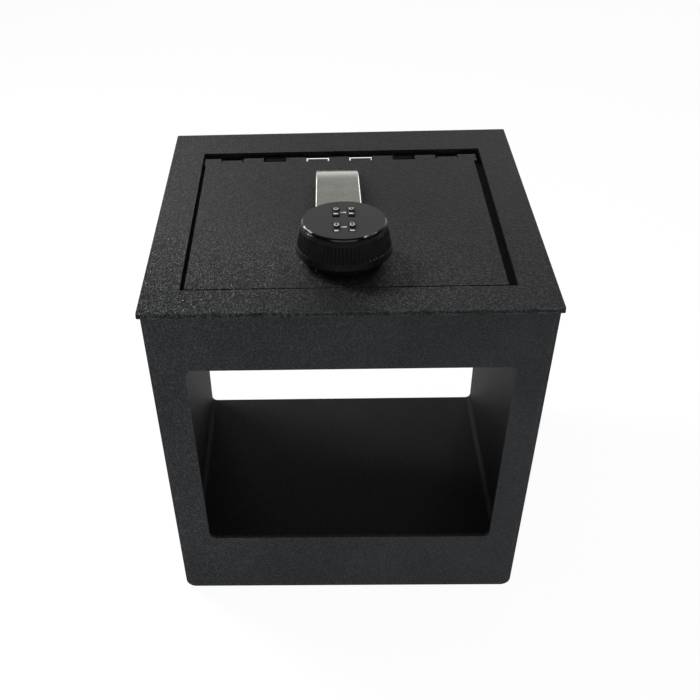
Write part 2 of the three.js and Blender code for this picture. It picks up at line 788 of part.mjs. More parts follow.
// Spring plate under the carrier with a bump on a tongue under each wheel.
function detent_plate() {
  const bottom = detent_plate_bottom;
  const top = bottom + detent_plate_thickness;
  const gap_to_wheel = wheel_axis_height - wheel_radius - top;
  const bump_height = gap_to_wheel - fit_gap;
  let plate = solid(upright_bar(carrier_radius, bottom, top, fine_steps));
  for (const x of wheel_columns) {
    for (const y of wheel_rows) {
      const side = Math.sign(y);
      const tongue_end = y + side * 3 * detent_bump_radius;
      const slot_reach = detent_slot_width + 2 * detent_bump_radius;
      for (const edge of [-1, 1]) {
        const slot_x = x + edge * (slot_half_width - detent_slot_width / 2);
        const slot = block(
          slot_x - detent_slot_width / 2, slot_x + detent_slot_width / 2,
          Math.min(y - side * slot_reach, tongue_end), Math.max(y - side * slot_reach, tongue_end),
          bottom - 1, top + 1,
        );
        plate = plate.subtract(solid(slot));
      }
      const bump = turned([
        [0, top - detent_plate_thickness / 2],
        [detent_bump_radius, top - detent_plate_thickness / 2],
        [detent_bump_radius, top],
        [detent_bump_radius / 2, top + bump_height],
        [0, top + bump_height],
      ], 12);
      plate = plate.add(solid(bump.translate(x, y, 0)));
    }
  }
  return geometry_of(plate);
}

// Spindle: a hexagonal flange seated in the knob, a round shaft and a square end for the cam.
const cam_hub_top = barrel_bottom - fit_gap;
const cam_hub_bottom = cam_hub_top - cam_thickness;
const spindle_end = cam_hub_bottom + fit_gap;
const cam_screw_bore_radius = cam_screw_diameter / 2 + fit_gap;

function spindle() {
  const flange_bottom = cavity_floor - spindle_flange_thickness + fit_gap;
  const shaft = solid(upright_bar(spindle_diameter / 2, cam_hub_top, spindle_flange_top, medium_steps));
  const flange = solid(hexagon_bar(spindle_flange_across_flats, flange_bottom, cavity_floor));
  const half_square = spindle_square / 2;
  const square = solid(block(
    -half_square, half_square, -half_square, half_square, spindle_end, cam_hub_top + 1,
  ));
  const tapped_depth = spindle_end + cam_screw_length;
  const tapped = solid(upright_bar(cam_screw_bore_radius, spindle_end - 1, tapped_depth, small_steps));
  return geometry_of(shaft.add(flange).add(square).subtract(tapped));
}

// Latch cam, drawn pointing along +X: flat at the hub, stepped up so that its tip runs just under
// the front ledge.
function latch_cam() {
  const tip_top = striker_underside - cam_striker_clearance - safe_height;
  const rise = tip_top - cam_hub_top;
  const bend_angle = THREE.MathUtils.degToRad(45);
  const rise_in_bends = 2 * cam_bend_radius * (1 - Math.cos(bend_angle));
  const slope_length = (rise - rise_in_bends) / Math.sin(bend_angle);
  const joggle_run = 2 * cam_bend_radius * Math.sin(bend_angle) + slope_length * Math.cos(bend_angle);
  const edge_view = bent_strip(-cam_tail, cam_hub_top - cam_thickness / 2, [
    { straight: cam_tail + cam_joggle_start },
    { bend: bend_angle, radius: cam_bend_radius },
    { straight: slope_length },
    { bend: -bend_angle, radius: cam_bend_radius },
    { straight: cam_length - cam_joggle_start - joggle_run },
  ], cam_thickness);
  const strip = solid(carried_back(edge_view, -cam_width / 2, cam_width / 2));

  const plan = rounded_rectangle(
    new THREE.Shape(), -cam_tail, cam_length, -cam_width / 2, cam_width / 2, cam_width / 3,
  );
  const rounded = strip.intersect(solid(carried_up(plan, 2 * barrel_bottom, 0, 6)));
  const half_hole = spindle_square / 2 + fit_gap;
  const square_hole = block(
    -half_hole, half_hole, -half_hole, half_hole, cam_hub_bottom - 1, cam_hub_top + 1,
  );
  return geometry_of(rounded.subtract(solid(square_hole)));
}

const cam_washer_top = cam_hub_bottom - fit_gap;
const cam_washer_bottom = cam_washer_top - cam_washer_thickness;

function cam_washer() {
  const washer_radius = cam_washer_diameter / 2;
  return ring(cam_screw_bore_radius, washer_radius, cam_washer_bottom, cam_washer_top, small_steps);
}

function cam_screw() {
  const head_top = cam_washer_bottom - fit_gap;
  const tip = spindle_end + cam_screw_length - fit_gap;
  const head = hexagon_bar(cam_screw_across_flats, head_top - cam_screw_head_height, head_top);
  const shank = upright_bar(cam_screw_diameter / 2, head_top - 1, tip, small_steps);
  return geometry_of(solid(head).add(solid(shank)));
}

// Assembly

const safe = new THREE.Group();

safe.add(piece("body_wrap", body_wrap(), "textured_black"));
safe.add(piece("front_panel", front_panel(), "textured_black"));
safe.add(piece("top_frame", top_frame(), "textured_black"));
safe.add(piece("rear_rail", rear_rail(), "textured_black"));
safe.add(piece("side_ledge_left", side_ledge(-1), "textured_black"));
safe.add(piece("side_ledge_right", side_ledge(1), "textured_black"));
safe.add(piece("front_ledge", front_ledge(), "textured_black"));

// Everything on the hinge line shares one group at the middle of the pin.
const hinge_line = new THREE.Group();
hinge_line.position.set(lid_centre, pin_y, pin_z);
safe.add(hinge_line);

const ear_names = ["hinge_ear_left", "hinge_ear_right"];
for (const [index, name] of ear_names.entries()) {
  const ear = piece(name, hinge_ear(), "black_steel");
  ear.position.x = notch_places[ear_notches[index]];
  hinge_line.add(ear);
}
const pin_half_length = lid_half_width - fit_gap;
const hinge_pin = lying_bar(pin_radius, -pin_half_length, pin_half_length, small_steps);
hinge_line.add(piece("hinge_pin", hinge_pin, "bright_steel"));

const lid = new THREE.Group();
hinge_line.add(lid);
lid.add(piece("lid_plate", lid_plate(), "textured_black"));

// The lock and the knob share one group on the lock's axis, on top of the lid.
const lock = new THREE.Group();
lock.position.set(0, -lock_ahead_of_pin, roll_radius);
lid.add(lock);
lock.add(piece("lock_housing", lock_housing(), "black_steel"));
lock.add(piece("pull_strap", pull_strap(), "chrome"));
lock.add(piece("lock_washer", lock_washer(), "bright_steel"));
lock.add(piece("lock_nut", lock_nut(), "bright_steel"));

const knob = new THREE.Group();
lock.add(knob);
knob.add(piece("knob_shell", knob_shell(), "gloss_black_plastic"));
knob.add(piece("knob_face", knob_face(), "gloss_grey_plastic"));
knob.add(piece("dial_carrier", dial_carrier(), "matte_black_plastic"));
knob.add(piece("detent_plate", detent_plate(), "bright_steel"));
knob.add(piece("spindle", spindle(), "bright_steel"));
knob.add(piece("cam_washer", cam_washer(), "bright_steel"));
knob.add(piece("cam_screw", cam_screw(), "bright_steel"));
const cam = piece("latch_cam", latch_cam(), "bright_steel");
cam.rotation.z = Math.PI;
knob.add(cam);

const row_names = ["front", "rear"];
const column_names = ["left", "right"];
for (const [row, y] of wheel_rows.entries()) {
  const axle = piece(`dial_axle_${row_names[row]}`, dial_axle(), "bright_steel");
  axle.position.set(0, y, wheel_axis_height);
  knob.add(axle);
  for (const [column, x] of wheel_columns.entries()) {
    const name = `dial_wheel_${row_names[row]}_${column_names[column]}`;
    const wheel = piece(name, dial_wheel(), "matte_black_plastic");
    wheel.position.set(x, y, wheel_axis_height);
    knob.add(wheel);
  }
}

export default safe;
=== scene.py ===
# %% [markdown]
# # A console safe in black powder coat
#
# This lesson dresses the CAD model of a console safe: a bent and welded sheet-steel box with a
# window in its front, a hinged lid set in its top flange, a ribbed knob with four number wheels,
# and a bright metal strap that pulls the lid up. The solids give every place and size. What is
# added here is what the hand and the eye meet: rounded edges, the grit of the coating, the gloss of
# the knob, the rubbed plating of the strap and the white figures on the wheels.

import json
import math

import bmesh
import bpy
import numpy as np
from mathutils import Matrix, Vector


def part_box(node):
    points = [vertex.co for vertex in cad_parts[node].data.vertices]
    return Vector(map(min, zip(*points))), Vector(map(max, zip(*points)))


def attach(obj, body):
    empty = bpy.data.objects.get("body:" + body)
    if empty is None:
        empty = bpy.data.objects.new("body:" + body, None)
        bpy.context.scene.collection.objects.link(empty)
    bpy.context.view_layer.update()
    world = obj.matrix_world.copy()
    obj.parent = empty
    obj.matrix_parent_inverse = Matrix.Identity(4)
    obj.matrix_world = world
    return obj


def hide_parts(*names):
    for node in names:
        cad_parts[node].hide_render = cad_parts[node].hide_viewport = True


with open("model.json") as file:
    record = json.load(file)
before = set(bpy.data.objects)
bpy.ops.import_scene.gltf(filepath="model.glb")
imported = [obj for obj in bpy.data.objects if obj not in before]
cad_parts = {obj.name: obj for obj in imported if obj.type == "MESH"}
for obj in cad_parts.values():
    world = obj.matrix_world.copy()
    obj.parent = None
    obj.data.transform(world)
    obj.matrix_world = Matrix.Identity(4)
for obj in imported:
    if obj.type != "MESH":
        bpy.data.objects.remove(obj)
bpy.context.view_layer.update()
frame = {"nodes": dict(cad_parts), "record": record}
mm = 0.001

# %% [markdown]
# ## The camera
#
# The photo was taken from above the front edge, close enough for the box to narrow strongly towards
# the floor. One camera was fitted to the straight edges of the flange, the window and the floor,
# and its place, its angles and its lens are written down here. The shifts only move the frame,
# because the photo is a crop and its optical centre lies left of the middle.

# %% Camera
camera_data = bpy.data.cameras.new("photo_camera")
camera_data.sensor_width = 36
camera_data.lens = 60.76
camera_data.shift_x = 0.10777
camera_data.shift_y = -0.00631
camera_data.clip_start = 0.01
camera = bpy.data.objects.new("photo_camera", camera_data)
camera.location = (-0.01667, -0.73131, 0.61695)
camera.rotation_euler = [math.radians(angle) for angle in (57.161, 1.88, 1.487)]
bpy.context.scene.collection.objects.link(camera)
bpy.context.scene.camera = camera
print("camera at", tuple(camera.location))

# %% [markdown]
# ## Colours and nodes
#
# Paint charts and screens give colours as sRGB hex values, but a shader adds light in linear
# values, so one function turns the first into the second. A second small function adds one node,
# with its settings and its links, and every material below is made with it. Two kinds of node come
# back often, and their sockets are called by number. A Map Range node takes a value in socket 0,
# the range it comes in as 1 and 2, and the range it goes out in as 3 and 4, which are 0 and 1 when
# nothing is said. A colour Mix node takes the share in socket 0 and its two colours in 6 and 7.

# %% Colour and node helpers
def linear(hex_colour):
    """sRGB to linear: c / 12.92 up to 0.04045, else ((c + 0.055) / 1.055) to the power 2.4."""
    c = np.array([int(hex_colour[i:i + 2], 16) for i in (1, 3, 5)]) / 255
    value = np.where(c <= 0.04045, c / 12.92, ((c + 0.055) / 1.055) ** 2.4)
    return (*(float(v) for v in value), 1.0)


def add_node(tree, kind, inputs=None, **settings):
    """One new node. inputs gives each socket, by name or by number, a plain value or the output
    that feeds it."""
    new = tree.nodes.new("ShaderNode" + kind)
    for name, value in settings.items():
        setattr(new, name, value)
    for socket, value in (inputs or {}).items():
        if isinstance(value, bpy.types.NodeSocket):
            tree.links.new(value, new.inputs[socket])
        else:
            new.inputs[socket].default_value = value
    return new


def per_metre(size_mm):
    """Texture scale for a pattern whose cells are size_mm across: cells in one metre."""
    return 1000 / size_mm


def begin(name):
    """An empty material: its node tree, its Principled shader and its Object coordinates."""
    material = bpy.data.materials.new(name)
    material.use_nodes = True
    tree = material.node_tree
    tree.nodes.clear()
    shader = add_node(tree, "BsdfPrincipled")
    add_node(tree, "OutputMaterial", {"Surface": shader.outputs["BSDF"]})
    place = add_node(tree, "TexCoord").outputs["Object"]
    return material, tree, shader, place


print("white is", linear("#ffffff"))

# %% [markdown]
# ## Textured powder coat
#
# The whole box is polyester powder coat, sprayed dry and baked. The textured kind pulls itself into
# fine grains as it melts, with finer grit on them. It hides fingerprints, and under a lamp each
# grain throws its own small glint. Two patterns make the grains and the grit as bump. The hollows
# between the grains are painted darker than the tops, a painted shade. The highest tops are much
# glossier and are also painted paler, a painted glint. The coat is painted paler along the edges,
# most at the front: partly wear, and partly a painted highlight along the rounded edges. Towards
# the front left the bump is deepest and the painted glints are strongest, where the near lamp makes
# the grains sparkle, and the coat is calmer towards the rear and the right. On the walls the coat
# is flatter and duller. Real grains are about 1 mm across. They are drawn at 1.2 to 1.3 mm,
# because finer ones would vanish at this picture size.

# %% Powder coat material
def powder_coat(name, dark, pale, worn_and_edge_light, painted_glint, grain_mm, depth_mm, specular, roughness):
    """specular and roughness each give the value in the hollows and that on the glossy tops."""
    material, tree, shader, place = begin(name)
    grain_inputs = {"Vector": place, "Scale": per_metre(grain_mm), "Detail": 2.5, "Roughness": 0.62}
    grains = add_node(tree, "TexNoise", grain_inputs).outputs["Fac"]
    grit_inputs = {"Vector": place, "Scale": per_metre(grain_mm * 0.45), "Randomness": 1.0}
    grit = add_node(tree, "TexVoronoi", grit_inputs, feature="SMOOTH_F1").outputs["Distance"]
    # Where the bump is deepest and the painted glints are strongest: 1 at the front left, and less
    # towards the rear and the right.
    ways = add_node(tree, "SeparateXYZ", {0: place}).outputs
    forwards = {0: ways["Y"], 1: 0.0, 2: -120 * mm, 3: 0.3, 4: 1.0}
    grit_glint_front = add_node(tree, "MapRange", forwards).outputs[0]
    leftwards = {0: ways["X"], 1: 120 * mm, 2: -100 * mm, 3: 0.35, 4: 1.0}
    grit_glint_left = add_node(tree, "MapRange", leftwards).outputs[0]
    grit_and_glint_zone = add_node(tree, "Math", {0: grit_glint_front, 1: grit_glint_left}, operation="MULTIPLY").outputs[0]

    # The hollows are painted darker than the tops, a painted shade in the grains, and the tone also
    # drifts a little from place to place.
    tops = add_node(tree, "MapRange", {0: grains, 1: 0.42, 2: 0.68}).outputs[0]
    shades = {0: tops, 6: linear(dark), 7: linear(pale)}
    coat = add_node(tree, "Mix", shades, data_type="RGBA").outputs[2]
    # The highest grains are painted paler, a painted glint, and are glossier. At the front left
    # they stand out; elsewhere a fifth of that paler colour and gloss lies evenly over the coat, a
    # painted sheen.
    fleck_inputs = {"Vector": place, "Scale": per_metre(grain_mm * 0.8), "Detail": 1.0}
    flecks = add_node(tree, "TexNoise", fleck_inputs).outputs["Fac"]
    flecks = add_node(tree, "MapRange", {0: flecks, 1: 0.52, 2: 0.64}).outputs[0]
    painted_even_sheen = 0.2
    flecks = add_node(tree, "Mix", {0: grit_and_glint_zone, 2: painted_even_sheen, 3: flecks}).outputs[0]
    glinting = {0: flecks, 6: coat, 7: linear(painted_glint)}
    coat = add_node(tree, "Mix", glinting, data_type="RGBA").outputs[2]
    cloud_inputs = {"Vector": place, "Scale": per_metre(70), "Detail": 3.0}
    clouds = add_node(tree, "TexNoise", cloud_inputs).outputs["Fac"]
    drift = add_node(tree, "MapRange", {0: clouds, 1: 0.35, 2: 0.65, 3: 0.88, 4: 1.12}).outputs[0]
    coat = add_node(tree, "VectorMath", {0: coat, "Scale": drift}, operation="SCALE").outputs[0]

    # Edge wear, partly a painted highlight: where the bevelled normal leaves the true one, an edge
    # is near.
    rounded = add_node(tree, "Bevel", {"Radius": 2.0 * mm}, samples=4).outputs["Normal"]
    true = add_node(tree, "NewGeometry").outputs["Normal"]
    normals = {0: rounded, 1: true}
    dot = add_node(tree, "VectorMath", normals, operation="DOT_PRODUCT").outputs["Value"]
    edge = add_node(tree, "MapRange", {0: dot, 1: 0.985, 2: 0.8}).outputs[0]
    rub_inputs = {"Vector": place, "Scale": per_metre(6), "Detail": 4.0}
    rubs = add_node(tree, "TexNoise", rub_inputs).outputs["Fac"]
    patchy = add_node(tree, "MapRange", {0: rubs, 1: 0.4, 2: 0.62}).outputs[0]
    wear_and_edge_light = add_node(tree, "Math", {0: edge, 1: patchy}, operation="MULTIPLY").outputs[0]
    # The front is paler most: partly rubbed by hands and sleeves, partly a painted highlight on its
    # edges.
    front_range = {0: ways["Y"], 1: -85 * mm, 2: -115 * mm, 3: 0.1, 4: 0.5}
    front_wear_and_edge_light = add_node(tree, "MapRange", front_range).outputs[0]
    wear_and_edge_light = add_node(tree, "Math", {0: wear_and_edge_light, 1: front_wear_and_edge_light}, operation="MULTIPLY").outputs[0]
    colours = {0: wear_and_edge_light, 6: coat, 7: linear(worn_and_edge_light)}
    colour = add_node(tree, "Mix", colours, data_type="RGBA").outputs[2]
    tree.links.new(colour, shader.inputs["Base Color"])

    rough_range = {0: flecks, 3: roughness[0], 4: roughness[1]}
    rough = add_node(tree, "MapRange", rough_range).outputs[0]
    tree.links.new(rough, shader.inputs["Roughness"])
    shader.inputs["IOR"].default_value = 1.5
    shine = add_node(tree, "MapRange", {0: flecks, 3: specular[0], 4: specular[1]}).outputs[0]
    tree.links.new(shine, shader.inputs["Specular IOR Level"])

    # The bump is the grains plus a third as much grit, deepest towards the front left.
    grit_height = add_node(tree, "MapRange", {0: grit, 1: 0.0, 2: 0.8, 3: 0.0, 4: 0.35}).outputs[0]
    height = add_node(tree, "Math", {0: grains, 1: grit_height}, operation="ADD").outputs[0]
    strength = add_node(tree, "MapRange", {0: grit_and_glint_zone, 1: 0.15, 2: 1.0, 3: 0.4, 4: 1.3}).outputs[0]
    bump_inputs = {"Height": height, "Strength": strength, "Distance": depth_mm * mm}
    bump = add_node(tree, "Bump", bump_inputs).outputs["Normal"]
    tree.links.new(bump, shader.inputs["Normal"])
    return material


# The dark and pale colours paint shade into the hollows, the glint colour is a painted glint on the
# highest grains, and the worn colour is partly wear and partly a painted edge highlight.
coat_top = powder_coat(
    "textured_polyester_powder_coat",
    dark="#0d0e0f", pale="#1f2122", worn_and_edge_light="#5c5e60", painted_glint="#2e3032",
    grain_mm=1.2, depth_mm=1.0, specular=(0.08, 0.46), roughness=(0.56, 0.18),
)
coat_panel = powder_coat(
    "fine_textured_powder_coat",
    dark="#222325", pale="#2f3032", worn_and_edge_light="#3c3d40", painted_glint="#323335",
    grain_mm=1.3, depth_mm=0.4, specular=(0.05, 0.15), roughness=(0.6, 0.5),
)
print("powder coats:", coat_top.name, coat_panel.name)

# %% [markdown]
# ## Plain metals and moulded plastics
#
# The pin, the cam and the nut are zinc-plated steel: bright, slightly blue, with the soft
# cloudiness of barrel plating. The hinge ears, the ledges and the lock's base have the dull skin of
# black oxide, which reflects next to nothing. On the ears and the ledges, which are seen only down
# the gaps and notches round the lid, that near-black without gloss is also painted shade for those
# gaps. The knob is moulded in glossy black ABS. The plate on its top is dark grey and polished, and
# its chamfer and side are polished black, so that the lamps draw thin streaks there. ABS is never
# perfectly flat, so a wide, very shallow noise bends its reflections. The number wheels are acetal,
# which is duller and a little waxy, and their figures are white ink. All are one recipe: a noise
# that drifts between two colours and two roughness values, at the size in millimetres of that
# finish's own unevenness.

# %% Zinc, black oxide, ABS, acetal and ink
def plain_finish(name, colours, roughness, grain_mm, depth_mm,
                 metallic=0.0, ior=None, specular=0.5):
    """A finish that drifts between two colours and two roughness values, with a shallow bump."""
    material, tree, shader, place = begin(name)
    noise_inputs = {"Vector": place, "Scale": per_metre(grain_mm), "Detail": 4.0, "Roughness": 0.55}
    noise = add_node(tree, "TexNoise", noise_inputs).outputs["Fac"]
    share = add_node(tree, "MapRange", {0: noise, 1: 0.35, 2: 0.65}).outputs[0]
    shades = {0: share, 6: linear(colours[0]), 7: linear(colours[1])}
    colour = add_node(tree, "Mix", shades, data_type="RGBA").outputs[2]
    tree.links.new(colour, shader.inputs["Base Color"])
    rough_range = {0: noise, 1: 0.3, 2: 0.7, 3: roughness[0], 4: roughness[1]}
    rough = add_node(tree, "MapRange", rough_range).outputs[0]
    tree.links.new(rough, shader.inputs["Roughness"])
    shader.inputs["Metallic"].default_value = metallic
    if ior is not None:
        shader.inputs["IOR"].default_value = ior
    shader.inputs["Specular IOR Level"].default_value = specular
    bump_inputs = {"Height": noise, "Strength": 0.5, "Distance": depth_mm * mm}
    bump = add_node(tree, "Bump", bump_inputs).outputs["Normal"]
    tree.links.new(bump, shader.inputs["Normal"])
    return material


zinc = plain_finish(
    "zinc_plated_steel", ("#9fa4a8", "#c3c7ca"), roughness=(0.22, 0.4),
    grain_mm=4.0, depth_mm=0.01, metallic=1.0,
)
# On the ledges and the hinge ears, seen only down the gaps round the lid, this near-black finish
# with almost no gloss stands in as painted shade.
black_oxide_and_gap_shade = plain_finish(
    "black_oxide_steel_and_gap_shade", ("#060607", "#0c0c0d"), roughness=(0.5, 0.65),
    grain_mm=2.0, depth_mm=0.02, ior=1.5, specular=0.04,
)
knob_black = plain_finish(
    "gloss_black_abs", ("#080809", "#0d0d0e"), roughness=(0.2, 0.3),
    grain_mm=9.0, depth_mm=0.03, ior=1.54,
)
edge_black = plain_finish(
    "polished_black_abs", ("#080809", "#0d0d0e"), roughness=(0.05, 0.1),
    grain_mm=12.0, depth_mm=0.01, ior=1.54,
)
face_grey = plain_finish(
    "polished_abs_plate", ("#30312f", "#343533"), roughness=(0.05, 0.1),
    grain_mm=12.0, depth_mm=0.01, ior=1.54,
)
acetal = plain_finish(
    "black_acetal", ("#08090a", "#0e0f10"), roughness=(0.32, 0.42),
    grain_mm=3.0, depth_mm=0.01, ior=1.48,
)
white_ink = plain_finish(
    "white_ink", ("#e6e7e4", "#f4f4f2"), roughness=(0.4, 0.5),
    grain_mm=1.2, depth_mm=0.005, ior=1.5,
)
print("plain finishes made")

# %% [markdown]
# ## Rubbed nickel
#
# The strap is spring steel with bright nickel plate, which is warmer than chrome. Years of fingers
# draw fine lines across it, leave short scuffs and stain it softly. The lines are a noise that is
# stretched along the strap's width, and change the bump and the roughness. The scuffs are a second
# noise with a high threshold, and are paler. The stains are a wide third one.

# %% Nickel material
def rubbed_nickel(name):
    material, tree, shader, place = begin(name)
    stretch = {"Vector": place, "Scale": (0.12, 1.0, 1.0)}
    stretched = add_node(tree, "Mapping", stretch).outputs["Vector"]
    line_inputs = {"Vector": stretched, "Scale": per_metre(0.9), "Detail": 5.0, "Roughness": 0.7}
    lines = add_node(tree, "TexNoise", line_inputs).outputs["Fac"]
    scuff_inputs = {"Vector": place, "Scale": per_metre(2.6), "Detail": 4.0, "Roughness": 0.6}
    scuffs = add_node(tree, "TexNoise", scuff_inputs).outputs["Fac"]
    stain_inputs = {"Vector": place, "Scale": per_metre(14), "Detail": 3.0}
    stains = add_node(tree, "TexNoise", stain_inputs).outputs["Fac"]

    share = add_node(tree, "MapRange", {0: stains, 1: 0.35, 2: 0.65}).outputs[0]
    plates = {0: share, 6: linear("#b2b3a8"), 7: linear("#bbbcb2")}
    plate = add_node(tree, "Mix", plates, data_type="RGBA").outputs[2]
    bright = add_node(tree, "MapRange", {0: scuffs, 1: 0.6, 2: 0.72}).outputs[0]
    scuffed = {0: bright, 6: plate, 7: linear("#dcdcd4")}
    colour = add_node(tree, "Mix", scuffed, data_type="RGBA").outputs[2]
    tree.links.new(colour, shader.inputs["Base Color"])
    shader.inputs["Metallic"].default_value = 1.0
    fine = add_node(tree, "MapRange", {0: lines, 1: 0.3, 2: 0.7, 3: -0.06, 4: 0.06}).outputs[0]
    wide = add_node(tree, "MapRange", {0: stains, 1: 0.3, 2: 0.7, 3: 0.14, 4: 0.22}).outputs[0]
    rough = add_node(tree, "Math", {0: fine, 1: wide}, operation="ADD").outputs[0]
    tree.links.new(rough, shader.inputs["Roughness"])
    bump_inputs = {"Height": lines, "Strength": 0.35, "Distance": 0.02 * mm}
    bump = add_node(tree, "Bump", bump_inputs).outputs["Normal"]
    tree.links.new(bump, shader.inputs["Normal"])
    return material


nickel = rubbed_nickel("rubbed_nickel_plate")
print("strap finish:", nickel.name)

# %% [markdown]
# ## Rounded edges on the sheet metal
#
# Sheet that is cut, deburred and powder coated never has a sharp edge: the coat alone rounds it by
# about half a millimetre, and that round is what catches the light as a thin line. The solids have
# sharp edges, and their meshes are loose triangles. So a copy of each is merged, the cuts across
# its flat faces are dissolved, and a Bevel modifier rounds every edge that turns by more than 30
# degrees. The copy then stands for the node.

# %% Copy, merge and round
body_of_node = {
    name: body
    for body, names in frame["record"]["behaviour"]["bodies"].items()
    for name in names
}


def new_object(name, mesh, material):
    """A mesh put into the scene with one material, shaded smooth."""
    piece = bpy.data.objects.new(name, mesh)
    bpy.context.scene.collection.objects.link(piece)
    piece.data.materials.clear()
    piece.data.materials.append(material)
    piece.data.polygons.foreach_set("use_smooth", np.ones(len(mesh.polygons), dtype=bool))
    return piece


def stand_for(piece, node_name):
    """The piece rides on the node's body and stands for it, and the node is hidden."""
    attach(piece, body_of_node[node_name])
    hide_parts(node_name)


def round_edges(piece, radius_mm):
    bevel = piece.modifiers.new("round_edges", "BEVEL")
    bevel.width = radius_mm * mm
    bevel.segments = 2
    bevel.limit_method = "ANGLE"
    bevel.angle_limit = math.radians(30)
    # A large face then keeps its own flat shading right up to the rounded edge.
    flat = piece.modifiers.new("flat_faces", "WEIGHTED_NORMAL")
    flat.weight = 100
    flat.keep_sharp = False


def merged_mesh(node_name):
    """A copy of a CAD node's mesh with its corners merged and its flat faces made whole."""
    form = bmesh.new()
    form.from_mesh(frame["nodes"][node_name].data)
    bmesh.ops.remove_doubles(form, verts=form.verts, dist=0.002 * mm)
    flat = math.radians(0.5)
    bmesh.ops.dissolve_limit(form, angle_limit=flat, verts=form.verts, edges=form.edges)
    mesh = bpy.data.meshes.new(node_name + "_rounded")
    form.to_mesh(mesh)
    form.free()
    return mesh


def rounded_copy(node_name, material, radius_mm):
    piece = new_object(node_name + "_rounded", merged_mesh(node_name), material)
    round_edges(piece, radius_mm)
    stand_for(piece, node_name)


# Each node's finish, and the radius of its rounded edges in millimetres.
sheet_pieces = {
    "body_wrap": (coat_panel, 0.5),
    "front_panel": (coat_panel, 0.5),
    "top_frame": (coat_top, 0.8),
    "rear_rail": (coat_panel, 0.5),
    # The ledges and the ears get the near-black finish as painted shade for the gaps they are seen
    # in.
    "side_ledge_left": (black_oxide_and_gap_shade, 0.5),
    "side_ledge_right": (black_oxide_and_gap_shade, 0.5),
    "front_ledge": (black_oxide_and_gap_shade, 0.5),
    "lid_plate": (coat_top, 0.3),
    "hinge_ear_left": (black_oxide_and_gap_shade, 0.4),
    "hinge_ear_right": (black_oxide_and_gap_shade, 0.4),
}
lock_pieces = {
    "lock_housing": (black_oxide_and_gap_shade, 0.4),
    "lock_nut": (zinc, 0.4),
    "lock_washer": (zinc, 0.2),
    "latch_cam": (zinc, 0.5),
    "cam_washer": (zinc, 0.15),
    "cam_screw": (zinc, 0.3),
    "spindle": (zinc, 0.2),
    "knob_face": (face_grey, 0.35),
}
for node_name, (material, radius_mm) in {**sheet_pieces, **lock_pieces}.items():
    rounded_copy(node_name, material, radius_mm)
# Only the top of the knob's plate is grey: its chamfer and side are as black as the knob.
plate = bpy.data.objects["knob_face_rounded"].data
plate.materials.append(edge_black)
upward = np.array([face.normal.z for face in plate.polygons]) > 0.99
plate.polygons.foreach_set("material_index", np.where(upward, 0, 1).astype(np.int32))
print("rounded:", len(sheet_pieces) + len(lock_pieces), "pieces")

# %% [markdown]
# ## A grid made into a mesh
#
# Every new piece below is a surface given by a grid of points, worked out as whole arrays. One
# function turns a grid into a mesh. It joins the last row or column to the first where the surface
# closes on itself, and can close the first and last rows with a cap.

# %% Grid to mesh
def grid_mesh(name, points, wrap_rows=False, wrap_columns=False, caps=False):
    """points has the shape (rows, columns, 3), in metres. Each cell becomes one four-sided face."""
    rows, columns = points.shape[:2]
    index = np.arange(rows * columns).reshape(rows, columns)
    across = np.concatenate([index, index[:, :1]], axis=1) if wrap_columns else index
    full = np.concatenate([across, across[:1]], axis=0) if wrap_rows else across
    quads = np.stack([full[:-1, :-1], full[:-1, 1:], full[1:, 1:], full[1:, :-1]], axis=-1)
    faces = quads.reshape(-1, 4).tolist()
    if caps:
        faces += [index[0][::-1].tolist(), index[-1].tolist()]
    mesh = bpy.data.meshes.new(name)
    mesh.from_pydata(points.reshape(-1, 3).tolist(), [], faces)
    mesh.update()
    return mesh


def face_outwards(mesh):
    """Turns all faces the way that makes the enclosed volume positive."""
    form = bmesh.new()
    form.from_mesh(mesh)
    bmesh.ops.recalc_face_normals(form, faces=form.faces)
    if form.calc_volume(signed=True) < 0:
        bmesh.ops.reverse_faces(form, faces=form.faces)
    form.to_mesh(mesh)
    form.free()
    return mesh


def along_profile(corners, spacing):
    """Points along straight lines through the corners, no further apart than the spacing."""
    corners = np.array(corners, dtype=float)
    length = np.linalg.norm(np.diff(corners, axis=0), axis=1)
    steps = np.maximum(1, np.ceil(length / spacing)).astype(int)
    parts = [
        start + np.linspace(0, 1, count, endpoint=False)[:, None] * (end - start)
        for start, end, count in zip(corners[:-1], corners[1:], steps)
    ]
    return np.concatenate([*parts, corners[-1:]])


print("grid helpers ready")

# %% [markdown]
# ## Ground weld round the front panel
#
# The front panel is welded between the walls and the floor, and the bead is ground flush and coated
# over, so no joint shows. The solids keep a hair's gap there, because they are separate pieces. A
# strip as wide as the ground bead covers it: its section is carried down the left wall, along the
# floor and up the right wall, in the plane of the panel.

# %% Weld strip
wrap_high = np.array(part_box("body_wrap")[1]) / mm
panel_low, panel_high = (np.array(corner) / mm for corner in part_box("front_panel"))
side_lean = math.radians(1.82)
front_lean = math.radians(7.15)
bend_radius = 7.0
# The bead's section, in millimetres: how deep each point lies under the outer skin, and how far it
# stands out of the panel. Its middle covers the gap, and its rim is sunk out of sight.
bead_section = ((1.7, -0.5), (2.2, 0.03), (3.6, 0.03), (4.1, -0.5), (2.9, -0.5))


